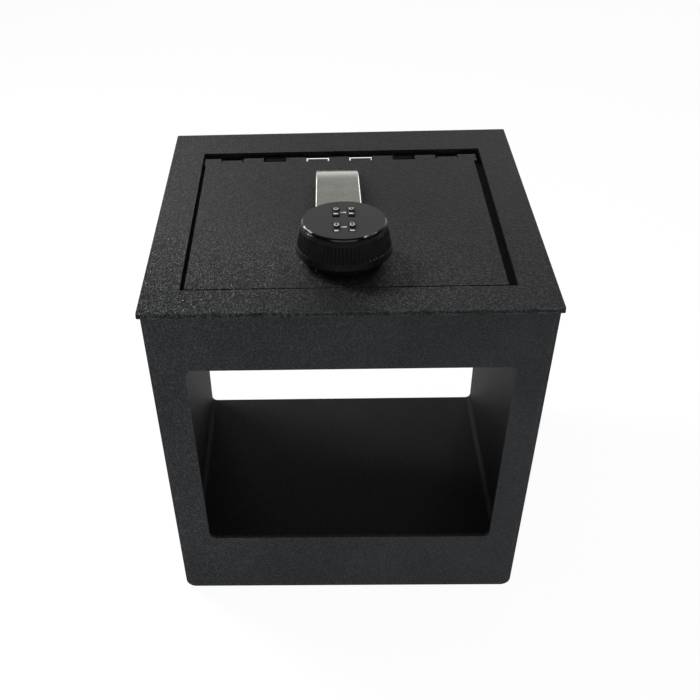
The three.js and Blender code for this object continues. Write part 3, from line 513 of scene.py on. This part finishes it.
def weld_points():
    """At each depth under the outer skin: down the left wall, round the bend by its angle, along
    the floor and up the right wall. Y is the panel's skin at that height, less what the point
    stands out."""
    bend_height = wrap_high[2] - bend_radius * (1 - math.sin(side_lean))
    bend_x = wrap_high[0] - bend_height * math.tan(side_lean) - bend_radius * math.cos(side_lean)
    rows = []
    for depth, out in bead_section:
        radius = bend_radius - depth
        turn = np.linspace(-np.pi / 2, -side_lean, 12)
        arc_x, arc_z = bend_x + radius * np.cos(turn), bend_radius + radius * np.sin(turn)
        wall_z = np.linspace(arc_z[-1], wrap_high[2] - 0.2, 24)[1:]
        wall_x = arc_x[-1] + (wall_z - arc_z[-1]) * math.tan(side_lean)
        half_x = np.concatenate([arc_x, wall_x])
        half_z = np.concatenate([arc_z, wall_z])
        x = np.concatenate([-half_x[::-1], half_x])
        z = np.concatenate([half_z[::-1], half_z])
        y = panel_low[1] + (panel_high[2] - z) * math.tan(front_lean) - out
        rows.append(np.stack([x, y, z], axis=-1))
    return np.stack(rows, axis=1) * mm


weld_mesh = grid_mesh("ground_weld", weld_points(), wrap_columns=True, caps=True)
weld = new_object("ground_weld", face_outwards(weld_mesh), coat_panel)
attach(weld, "box")
print("weld strip:", len(weld_mesh.polygons), "faces")

# %% [markdown]
# ## The knob's ribbed side
#
# The knob is a moulded cup, wider at its foot than at its top. A band of fine upright ribs runs
# round its middle for grip, with a plain band above and another below, where the side turns in to
# the foot. The mould's cutter leaves round-bottomed grooves that stop at a small ledge. The surface
# is a profile turned about the axis, and inside the ribbed band the radius dips by a cosine of 72
# times the angle, flattened at its tops so that the ribs are broader than the grooves. The lip at
# the top is rounded by less than 0.2 mm, as a mould leaves it, so it stays dark beside the plate.

# %% Knob shell
knob_low, knob_high = (np.array(corner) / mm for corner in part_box("knob_shell"))
lock_x, lock_y = (knob_low + knob_high)[:2] / 2
lid_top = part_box("lid_plate")[1][2] / mm
rib_count = 72
groove_depth = 0.9
rib_zone = (11.0, 22.0)
# Over how much height the grooves deepen at the foot of the band, and run out at its top.
groove_start, groove_run_out = 0.35, 1.2


def smooth_step(value, low, high):
    """0 below low, 1 above high, and 3 t^2 - 2 t^3 between them."""
    t = np.clip((value - low) / (high - low), 0, 1)
    return t * t * (3 - 2 * t)


def knob_shell_points():
    """Radius at angle a and height z: profile(z) less the depth times the zone's share at z times
    the groove's share at a, where the groove's share is a smooth step of cos(72 a)."""
    foot = knob_low[2] - lid_top
    top = knob_high[2] - lid_top
    rib_top_radius = 27.5
    outside = [
        (25.9, foot), (26.3, foot), (26.7, foot + 0.3), (29.9, 6.2), (30.4, 6.6), (30.6, 7.2),
        (30.4, 8.0), (29.8, rib_zone[0]), (rib_top_radius, rib_zone[1]),
        (26.82, top - 0.16), (26.8, top - 0.06), (26.72, top),
    ]
    inside = [
        (23.3, top), (23.2, top - 0.2), (23.2, 10.4), (22.9, 10.1), (4.8, 10.1), (4.8, foot),
        (25.9, foot),
    ]
    profile = np.concatenate([along_profile(outside, 0.28), along_profile(inside, 3.0)[1:-1]])
    radius, height = profile[:, 0], profile[:, 1]
    zone = smooth_step(height, rib_zone[0], rib_zone[0] + groove_start)
    zone *= 1 - smooth_step(height, rib_zone[1] - groove_run_out, rib_zone[1])
    # The inner wall, which is narrower than the ribs' top, stays plain.
    zone *= radius > rib_top_radius
    angle = np.linspace(0, 2 * np.pi, rib_count * 10, endpoint=False)
    # The solid's grooves lie half a pitch on from the front.
    from_groove = angle + np.pi / 2 - np.pi / rib_count
    groove = smooth_step(np.cos(rib_count * from_groove), -0.1, 0.6)
    r = radius[:, None] - groove_depth * zone[:, None] * groove[None, :]
    x = lock_x + r * np.cos(angle)
    y = lock_y + r * np.sin(angle)
    z = np.broadcast_to(lid_top + height[:, None], r.shape)
    return np.stack([x, y, z], axis=-1) * mm


shell_mesh = grid_mesh("knob_ribbed", knob_shell_points(), wrap_rows=True, wrap_columns=True)
stand_for(new_object("knob_ribbed", face_outwards(shell_mesh), knob_black), "knob_shell")
print("knob shell:", len(shell_mesh.polygons), "faces")

# %% [markdown]
# ## Number wheels
#
# Each wheel is an acetal ring with ten places for a figure and a groove between each pair, so that
# a thumb can roll it and a spring tongue can hold it. A square-cornered section would look cut
# rather than moulded, so the section has rounded shoulders. The surface is that section carried
# round the axle, with the radius dipping in a narrow groove at every tenth of a turn. The solid's
# radius of 8 mm is that of the ink on the wheel, so the wheel itself is smaller by the ink.

# %% Wheels
places_per_wheel = 10
place_pitch = 2 * np.pi / places_per_wheel
ink_thickness = 0.06
wheel_radius = 8.0 - ink_thickness
wheel_bore = 1.7
# How far each row has rolled towards the window within the play of its clicks, as in the photo.
row_roll = {"front": math.radians(6.8), "rear": math.radians(-4.1)}


def wheel_points(centre, half_width, roll):
    """Section: a ring from bore to rim with quarter-circle shoulders. At angle a the rim's radius
    dips by the groove's depth times a smooth step of the distance to the nearest groove."""
    shoulder = 0.35
    depth, half_floor, half_mouth = 0.55, 0.1, 0.75
    turn = np.linspace(0, np.pi / 2, 5)
    left_x = -half_width + shoulder - shoulder * np.cos(turn)
    left_r = wheel_radius - shoulder + shoulder * np.sin(turn)
    section_x = np.concatenate([[-half_width], left_x, -left_x[::-1], [half_width]])
    section_r = np.concatenate([[wheel_bore], left_r, left_r[::-1], [wheel_bore]])
    angle = np.linspace(0, 2 * np.pi, places_per_wheel * 24, endpoint=False)
    # A figure is uppermost at rest, so the grooves lie half a pitch away from the top.
    from_top = (angle - np.pi / 2 - roll) % place_pitch
    from_groove = np.abs(from_top - place_pitch / 2) * wheel_radius
    dip = depth * (1 - smooth_step(from_groove, half_floor, half_mouth))
    is_rim = section_r > wheel_bore
    r = section_r[:, None] - dip[None, :] * is_rim[:, None]
    x = np.broadcast_to(centre[0] + section_x[:, None], r.shape)
    y = centre[1] + r * np.cos(angle)
    z = centre[2] + r * np.sin(angle)
    return np.stack([x, y, z], axis=-1) * mm


wheel_centres = {}
for row, side in (("front", "left"), ("front", "right"), ("rear", "left"), ("rear", "right")):
    node_name = f"dial_wheel_{row}_{side}"
    low, high = (np.array(corner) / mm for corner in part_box(node_name))
    centre = (low + high) / 2
    wheel_centres[row, side] = centre
    points = wheel_points(centre, (high - low)[0] / 2, row_roll[row])
    mesh = grid_mesh(node_name + "_moulded", points, wrap_rows=True, wrap_columns=True)
    stand_for(new_object(node_name + "_moulded", face_outwards(mesh), acetal), node_name)
print("wheels at", {place: centre.round(2).tolist() for place, centre in wheel_centres.items()})

# %% [markdown]
# ## Figures on the wheels
#
# The figures are pad-printed in thick white ink. Only the even ones are drawn. At each odd place
# stands a white bar instead, which shows as a thin light dash under the figure in each window: it
# is a painted highlight for the line a lamp draws on the wheel there. Blender's own font gives
# plain figures. Each becomes a flat mesh, is cut across at several heights so that it can bend,
# and is then wrapped on the rim: its height becomes an angle, and its width stays along the axle.
# A thin wall makes the ink stand proud.

# %% Figures
figure_size = (3.0, 3.5)
highlight_bar_size = (3.0, 0.95)


def flat_figure(digit):
    """Points and faces of one figure, centred, in millimetres, with cuts across its height."""
    text = bpy.data.curves.new("figure", "FONT")
    text.body = str(digit)
    text.align_x = "CENTER"
    text.resolution_u = 6
    carrier = bpy.data.objects.new("figure", text)
    mesh = bpy.data.meshes.new_from_object(carrier)
    bpy.data.objects.remove(carrier)
    form = bmesh.new()
    form.from_mesh(mesh)
    bmesh.ops.remove_doubles(form, verts=form.verts, dist=1e-5)
    low = min(vertex.co.y for vertex in form.verts)
    high = max(vertex.co.y for vertex in form.verts)
    for level in np.linspace(low, high, 10)[1:-1]:
        everything = form.verts[:] + form.edges[:] + form.faces[:]
        bmesh.ops.bisect_plane(form, geom=everything, plane_co=(0, level, 0), plane_no=(0, 1, 0))
    form.verts.index_update()
    points = np.array([vertex.co[:] for vertex in form.verts])
    faces = [[vertex.index for vertex in face.verts] for face in form.faces]
    form.free()
    bpy.data.meshes.remove(mesh)
    middle = (points.min(axis=0) + points.max(axis=0)) / 2
    size = points.max(axis=0) - points.min(axis=0)
    points = (points - middle)[:, :2] / size[:2] * figure_size
    return points, faces


def flat_bar():
    """Points and faces of one painted highlight bar, centred: a grid of 2 by 4 cells."""
    across, up = np.meshgrid(np.linspace(-0.5, 0.5, 3), np.linspace(-0.5, 0.5, 5))
    points = np.stack([across.ravel() * highlight_bar_size[0], up.ravel() * highlight_bar_size[1]], axis=-1)
    index = np.arange(15).reshape(5, 3)
    faces = np.stack([index[:-1, :-1], index[:-1, 1:], index[1:, 1:], index[1:, :-1]], axis=-1)
    return points, faces.reshape(-1, 4).tolist()


# At each odd place a white bar is drawn, a painted highlight.
flat_shapes = [flat_bar() if place % 2 else flat_figure(place) for place in range(places_per_wheel)]


def figures_on_wheel(name, centre, roll):
    """Wraps each figure towards the front: angle = top + roll + place times pitch, less the
    height over the radius."""
    all_points, all_faces, count = [], [], 0
    for place, (points, faces) in enumerate(flat_shapes):
        angle = np.pi / 2 + roll + place * place_pitch - points[:, 1] / wheel_radius
        ring = np.stack([
            centre[0] + points[:, 0],
            centre[1] + (wheel_radius + ink_thickness) * np.cos(angle),
            centre[2] + (wheel_radius + ink_thickness) * np.sin(angle),
        ], axis=-1)
        all_points.append(ring)
        all_faces += [[corner + count for corner in face] for face in faces]
        count += len(points)
    mesh = bpy.data.meshes.new(name)
    mesh.from_pydata((np.concatenate(all_points) * mm).tolist(), [], all_faces)
    mesh.update()
    return mesh


for (row, side), centre in wheel_centres.items():
    name = f"figures_{row}_{side}"
    figures = new_object(name, figures_on_wheel(name, centre, row_roll[row]), white_ink)
    # The wall grows inwards, a little past the rim, so that the ink sits in the wheel.
    wall = figures.modifiers.new("ink", "SOLIDIFY")
    wall.thickness = 1.2 * ink_thickness * mm
    wall.offset = -1
    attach(figures, f"wheel_{row}_{side}")
print("figures on", len(wheel_centres), "wheels")

# %% [markdown]
# ## Index marks
#
# Two short white bars on the knob's face, one between the wheels of each row, show where to read
# the figures. They are printed, so each is a thin slab with rounded corners: a superellipse, which
# is a circle whose powers are raised from 2 to 4.

# %% Index marks
mark_half_length, mark_half_width, mark_height = 2.0, 0.85, 0.05
# The bars sit a little to the left of the knob's axis, as in the photo.
mark_x = lock_x - 0.3


def mark_points(centre_x, centre_y, base):
    """|x / a|^4 + |y / b|^4 = 1, drawn under the base and near the top, and a little smaller at the
    top."""
    turn = np.linspace(0, 2 * np.pi, 48, endpoint=False)
    x = mark_half_length * np.sign(np.cos(turn)) * np.abs(np.cos(turn)) ** 0.5
    y = mark_half_width * np.sign(np.sin(turn)) * np.abs(np.sin(turn)) ** 0.5
    scale = np.array([1.0, 1.0, 0.94])[:, None]
    z = base + mark_height * np.array([-1.0, 0.7, 1.0])[:, None]
    rows = [centre_x + scale * x, centre_y + scale * y, np.broadcast_to(z, (3, len(turn)))]
    return np.stack(rows, axis=-1) * mm


face_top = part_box("knob_face")[1][2] / mm
for row in ("front", "rear"):
    points = mark_points(mark_x, wheel_centres[row, "left"][1], face_top)
    mesh = grid_mesh(f"index_mark_{row}", points, wrap_columns=True, caps=True)
    mark = new_object(f"index_mark_{row}", face_outwards(mesh), white_ink)
    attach(mark, "knob")
print("index marks at height", round(face_top, 2))

# %% [markdown]
# ## Pull strap
#
# The strap is one strip of spring steel. Its root lies flat under the lock's base, it rises behind
# the knob, runs level far enough above the lid for a fingertip, and curves down again at its end. A
# rolled strip has round edges, and those are what shine in the photo. The surface is a rounded
# section carried along the strip's middle line, and the line is a chain of straights and arcs. The
# hole for the lock's barrel is then cut through the root.

# %% Strap
strap_low, strap_high = (np.array(corner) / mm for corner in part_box("pull_strap"))
strap_x = (strap_low + strap_high)[0] / 2
strap_thickness = 1.6
strap_edge = 1.45
strap_gap, strap_rise = 0.3, 10.0
# Along the strap, from the lock's axis: where it starts, starts to rise and starts to curve down.
strap_start, root_end, flat_end = -18.0, 33.0, 97.7
rise_angle, rise_radius = math.radians(45), 4.0
end_angle, end_radius = math.radians(27), 64.0


def strap_line():
    """Middle line in the plane of y and z: a straight adds its length along the heading, and a bend
    turns the heading evenly along an arc of its radius."""
    root = strap_gap + strap_thickness / 2
    top = strap_rise - strap_thickness / 2
    by_bends = 2 * rise_radius * (1 - math.cos(rise_angle))
    slope = (top - root - by_bends) / math.sin(rise_angle)
    rise_run = 2 * rise_radius * math.sin(rise_angle) + slope * math.cos(rise_angle)
    runs = [
        ("straight", root_end - strap_start), ("bend", rise_angle, rise_radius),
        ("straight", slope), ("bend", -rise_angle, rise_radius),
        ("straight", flat_end - root_end - rise_run), ("bend", -end_angle, end_radius),
    ]
    step_length, steps_in_bend = 1.5, 16
    y, z, heading = [strap_start], [root], [0.0]
    for kind, *values in runs:
        if kind == "straight":
            length = values[0]
            steps = max(2, int(length / step_length))
            s = np.linspace(0, length, steps + 1)[1:]
            h = np.full(steps, heading[-1])
            new_y, new_z = y[-1] + s * math.cos(h[0]), z[-1] + s * math.sin(h[0])
        else:
            turn, radius = values
            side = np.sign(turn)
            h = heading[-1] + turn * np.arange(1, steps_in_bend + 1) / steps_in_bend
            new_y = y[-1] + side * radius * (np.sin(h) - math.sin(heading[-1]))
            new_z = z[-1] - side * radius * (np.cos(h) - math.cos(heading[-1]))
        y, z, heading = y + list(new_y), z + list(new_z), heading + list(h)
    return np.array(y), np.array(z), np.array(heading)


def strap_points():
    """Section: a flat strip whose upper edges are quarter circles, which turn down to its flat
    underside. Each point stands off the middle line by its height times the line's normal."""
    y, z, heading = strap_line()
    root_half_width, taper = 16.1, 0.7
    half_width = root_half_width - taper * np.clip((y - root_end) / (flat_end - root_end), 0, 1)
    # The far corners are rounded: over the last 2.2 mm, the sides draw in along a quarter circle.
    corner = 2.2
    along = np.concatenate([[0], np.cumsum(np.hypot(np.diff(y), np.diff(z)))])
    into_corner = np.maximum(corner - (along[-1] - along), 0)
    half_width = half_width - corner + np.sqrt(corner**2 - into_corner**2)
    edge = strap_edge
    turn = np.linspace(0, np.pi / 2, 17)
    round_x, round_h = edge * (np.cos(turn) - 1), strap_thickness / 2 - edge + edge * np.sin(turn)
    # Below its round, each side ends in a small bevel.
    foot_in, foot_up = 0.15, 0.12
    foot = np.array([[-foot_in, -strap_thickness / 2], [0, foot_up - strap_thickness / 2]])
    right = np.concatenate([foot, np.stack([round_x, round_h], axis=-1)])
    across = np.linspace(1, -1, 9)[1:-1]
    count = len(y)
    right_x = half_width[:, None] + right[None, :, 0]
    right_h = np.broadcast_to(right[:, 1], (count, len(right)))
    top_x = across[None, :] * (half_width[:, None] - edge)
    top_h = np.full((count, len(across)), strap_thickness / 2)
    x = np.concatenate([right_x, top_x, -right_x[:, ::-1], -top_x], axis=1)
    h = np.concatenate([right_h, top_h, right_h[:, ::-1], -top_h], axis=1)
    px = strap_x + x
    py = lock_y + y[:, None] - h * np.sin(heading)[:, None]
    pz = lid_top + z[:, None] + h * np.cos(heading)[:, None]
    return np.stack([px, py, pz], axis=-1) * mm


def cut_round_hole(piece, x, y, radius, low, high):
    """Takes an upright round bar out of a piece with a Boolean, and keeps what is left."""
    corners = 64
    turn = np.linspace(0, 2 * np.pi, corners, endpoint=False)
    ring = np.stack([x + radius * np.cos(turn), y + radius * np.sin(turn)], axis=-1)
    levels = [np.concatenate([ring, np.full((corners, 1), level)], axis=1) for level in (low, high)]
    bar_mesh = face_outwards(grid_mesh("bar", np.stack(levels) * mm, wrap_columns=True, caps=True))
    bar = bpy.data.objects.new("bar", bar_mesh)
    bpy.context.scene.collection.objects.link(bar)
    cut = piece.modifiers.new("hole", "BOOLEAN")
    cut.object = bar
    cut.operation = "DIFFERENCE"
    cut.solver = "EXACT"
    bpy.context.view_layer.update()
    evaluated = piece.evaluated_get(bpy.context.evaluated_depsgraph_get())
    result = bpy.data.meshes.new_from_object(evaluated)
    piece.modifiers.clear()
    piece.data = result
    bpy.data.objects.remove(bar)


barrel_hole_radius = 9.3
strap_mesh = grid_mesh("strap_strip", strap_points(), wrap_columns=True, caps=True)
strap = new_object("strap_strip", face_outwards(strap_mesh), nickel)
cut_round_hole(strap, lock_x, lock_y, barrel_hole_radius, lid_top - 2, lid_top + 3)
stand_for(strap, "pull_strap")
print("strap:", len(strap.data.polygons), "faces")

# %% [markdown]
# ## Hinge pin
#
# The pin is a plain ground rod. Its ends are domed by tumbling, so its surface is a half circle, a
# straight and a half circle carried round its axis.

# %% Hinge pin
def pin_points(low, high):
    """Radius along the pin: r times the square root of 1 - t^2 on the last 0.8 mm of each end."""
    centre = (low + high) / 2
    radius = (high - low)[2] / 2
    dome_length = 0.8
    turn = np.linspace(0, np.pi / 2, 8)
    dome_x, dome_r = dome_length * (1 - np.cos(turn)), radius * np.sin(turn)
    # The very end is a tiny flat, which the cap closes.
    dome_r[0] = 0.02
    x = np.concatenate([low[0] + dome_x, (high[0] - dome_x)[::-1]])
    r = np.concatenate([dome_r, dome_r[::-1]])
    angle = np.linspace(0, 2 * np.pi, 32, endpoint=False)
    py = centre[1] + r[:, None] * np.cos(angle)
    pz = centre[2] + r[:, None] * np.sin(angle)
    return np.stack([np.broadcast_to(x[:, None], py.shape), py, pz], axis=-1) * mm


pin_low, pin_high = (np.array(corner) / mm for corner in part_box("hinge_pin"))
pin_mesh = grid_mesh("hinge_rod", pin_points(pin_low, pin_high), wrap_columns=True, caps=True)
stand_for(new_object("hinge_rod", face_outwards(pin_mesh), zinc), "hinge_pin")
print("pin length:", round(float(pin_high[0] - pin_low[0]), 1), "mm")

# %% [markdown]
# ## Inner pieces
#
# The carrier, the axles and the spring plate lie inside the knob, where only a sliver of them shows
# through the windows. Their solids are right as they are, and get the finishes of their materials.

# %% Materials on the inner nodes
inner_finishes = {
    "dial_carrier": acetal,
    "detent_plate": zinc,
    "dial_axle_front": zinc,
    "dial_axle_rear": zinc,
}
for node_name, material in inner_finishes.items():
    for slot in frame["nodes"][node_name].material_slots:
        slot.material = material
print("inner pieces finished:", len(inner_finishes))

# %% [markdown]
# ## Floor, light and background
#
# A small product is photographed on a white sweep in a room. The floor is nearly white and shows
# some of its own brightness to the camera, so that it burns out to white and still keeps the
# contact shadow. Glossy parts mirror the sweep a little dimmer, the dim ceiling above it and the
# dark side of the room that the camera stands in. That is why the strap's rounded edges shine while
# its flat face is grey, and why the knob's side is black.

# %% Floor and world
def pale_floor():
    material, tree, shader, _ = begin("white_sweep")
    shader.inputs["Base Color"].default_value = linear("#f4f4f4")
    shader.inputs["Roughness"].default_value = 0.8
    rays = add_node(tree, "LightPath").outputs
    direct = {0: rays["Is Camera Ray"], 1: rays["Is Transmission Ray"]}
    seen = add_node(tree, "Math", direct, operation="MAXIMUM").outputs[0]
    mirror_dimming, glow_share = 0.75, 0.85
    glossy = {0: rays["Is Glossy Ray"], 1: mirror_dimming}
    mirrored = add_node(tree, "Math", glossy, operation="MULTIPLY").outputs[0]
    either = add_node(tree, "Math", {0: seen, 1: mirrored}, operation="MAXIMUM").outputs[0]
    share = add_node(tree, "Math", {0: either, 1: glow_share}, operation="MULTIPLY").outputs[0]
    glow = add_node(tree, "Emission", {"Color": linear("#ffffff"), "Strength": 1.1})
    both = {0: share, 1: shader.outputs["BSDF"], 2: glow.outputs["Emission"]}
    mixed = add_node(tree, "MixShader", both)
    output = next(node for node in tree.nodes if node.type == "OUTPUT_MATERIAL")
    tree.links.new(mixed.outputs["Shader"], output.inputs["Surface"])
    return material


floor_half, floor_front, floor_rear = 1.3, -0.7, 4.0
# A hair under the safe, so that the two surfaces do not fight.
floor_height = -0.2 * mm
corners = [
    (-floor_half, floor_front, floor_height), (floor_half, floor_front, floor_height),
    (floor_half, floor_rear, floor_height), (-floor_half, floor_rear, floor_height),
]
floor_mesh = bpy.data.meshes.new("floor")
floor_mesh.from_pydata(corners, [], [(0, 1, 2, 3)])
floor = new_object("floor", floor_mesh, pale_floor())

world = bpy.data.worlds.new("studio")
world.use_nodes = True
bpy.context.scene.world = world
studio = world.node_tree
studio.nodes.clear()
rays = add_node(studio, "LightPath").outputs
direct = {0: rays["Is Camera Ray"], 1: rays["Is Glossy Ray"]}
seen = add_node(studio, "Math", direct, operation="MAXIMUM").outputs[0]
through = {0: seen, 1: rays["Is Transmission Ray"]}
seen = add_node(studio, "Math", through, operation="MAXIMUM").outputs[0]
# What gloss mirrors: bright low down behind the safe, dim overhead, dark on the camera's side.
direction = add_node(studio, "TexCoord").outputs["Generated"]
ways = add_node(studio, "SeparateXYZ", {0: direction}).outputs
upwards = {0: ways["Z"], 1: 0.05, 2: 0.45, 3: 1.0, 4: 0.36}
higher = add_node(studio, "MapRange", upwards).outputs[0]
backwards = {0: ways["Y"], 1: 0.0, 2: 0.7, 3: 0.12, 4: 1.0}
nearer = add_node(studio, "MapRange", backwards).outputs[0]
room = add_node(studio, "Math", {0: higher, 1: nearer}, operation="MULTIPLY").outputs[0]
behind = add_node(studio, "MapRange", {0: rays["Is Camera Ray"], 3: room, 4: 1.0}).outputs[0]
room_light = 0.16
strength = add_node(studio, "MapRange", {0: seen, 3: room_light, 4: behind}).outputs[0]
sky = add_node(studio, "Background", {"Color": linear("#ffffff"), "Strength": strength})
add_node(studio, "OutputWorld", {"Surface": sky.outputs["Background"]})
print("world and floor ready")

# %% [markdown]
# ## Lamps
#
# Three soft boxes light the safe: one near on the left, so that the flange is palest there, one
# overhead and a wide one in front. Screens would keep them out of the gloss in a real studio, so
# here they are simply not mirrored. What gloss does show comes from five smaller lamps that light
# nothing else. One makes the coat glint at the front left, a long bar on each side draws its streak
# along the knob's rim, and two stand behind for the strap's edges. Each bar is turned so that its
# mirror image follows the rim.

# %% Lamps
def soft_box(name, place, aim, size, watts, along=(1, 0, 0), lights=True, mirrored=True):
    """A rectangle of light that faces its aim. Its width runs as nearly as it can the given way."""
    lamp = bpy.data.lights.new(name, "AREA")
    lamp.shape = "RECTANGLE"
    lamp.size, lamp.size_y = size
    lamp.energy = watts
    box = bpy.data.objects.new(name, lamp)
    back = (Vector(place) - Vector(aim)).normalized()
    up = back.cross(Vector(along)).normalized()
    turned = Matrix((up.cross(back), up, back)).transposed()
    box.location = place
    box.rotation_euler = turned.to_euler()
    box.visible_diffuse = lights
    box.visible_glossy = mirrored
    bpy.context.scene.collection.objects.link(box)


middle, low_middle = (0, 0, 0.25), (0, 0, 0.12)
soft_box("left_box", (-0.75, 0.35, 0.85), middle, (0.35, 0.35), 6, mirrored=False)
soft_box("top_box", (0, -0.1, 2.0), middle, (1.2, 1.2), 3.6, mirrored=False)
soft_box("front_box", (0.2, -1.9, 0.35), low_middle, (1.8, 0.6), 26, mirrored=False)
soft_box("glint_box", (-0.58, 0.47, 0.97), middle, (0.3, 0.1), 10, lights=False)
soft_box(
    "left_bar", (-0.845, 0.463, 0.741), middle, (0.64, 0.06), 1.2,
    along=(0.115, 0.466, -0.328), lights=False,
)
soft_box(
    "right_bar", (0.865, -0.066, 1.113), middle, (0.65, 0.06), 2.2,
    along=(0.205, 0.45, -0.223), lights=False,
)
soft_box("rear_left_box", (-0.56, 1.51, 0.7), middle, (0.25, 0.25), 0.8, lights=False)
soft_box("rear_right_box", (0.56, 1.51, 0.7), middle, (0.25, 0.25), 0.8, lights=False)
print("eight soft boxes")

# %% [markdown]
# ## Look
#
# The Standard view keeps colours as they are written. The dressed model must stay inside the box of
# the solids.

# %% View transform
bpy.context.scene.view_settings.view_transform = "Standard"
bpy.context.view_layer.update()
